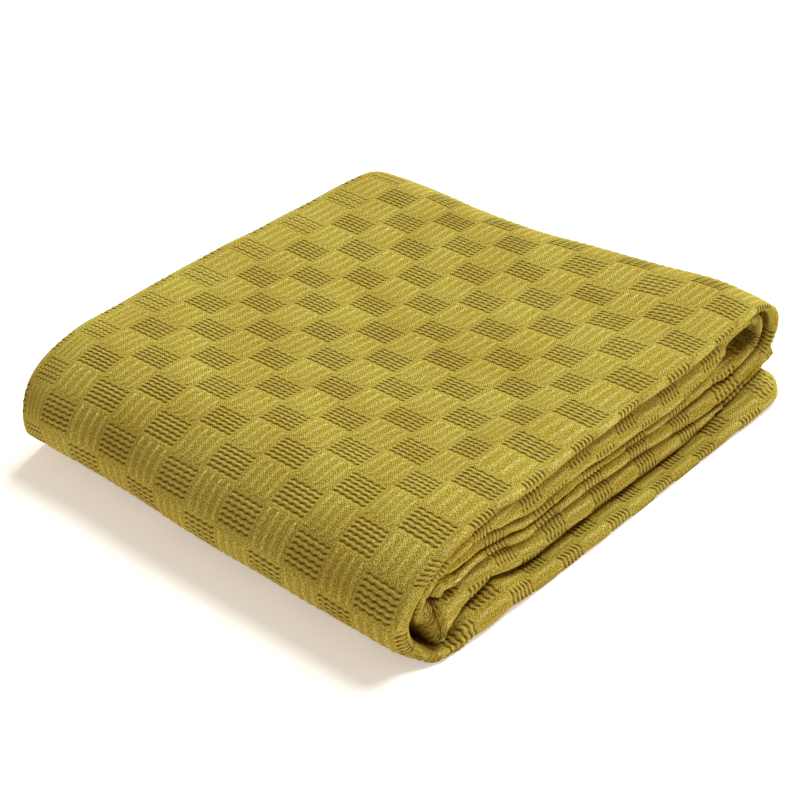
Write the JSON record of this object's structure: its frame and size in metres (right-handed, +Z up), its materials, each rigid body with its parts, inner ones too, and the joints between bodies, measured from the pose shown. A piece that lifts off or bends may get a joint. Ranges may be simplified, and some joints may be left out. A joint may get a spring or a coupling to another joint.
{
  "type": "folded woven cotton blanket",
  "caption": "Woven cotton blanket in a basket-weave check, folded flat into a soft stack with its rolled edges in front.",
  "frame": {"origin": "middle of the folded stack's outline, on the surface it lies on", "axes": "+X along the rolled edges, from the wrapped end to the end that turns under; -Y is the side with the rolled edges; +Z is up"},
  "size_m": [0.3924, 0.3386, 0.0675],
  "materials": {
    "cloth": "matt cotton in a basket-weave check, mustard to olive"
  },
  "bodies": {
    "root": {"blanket": "cloth"}
  },
  "joints": []
}
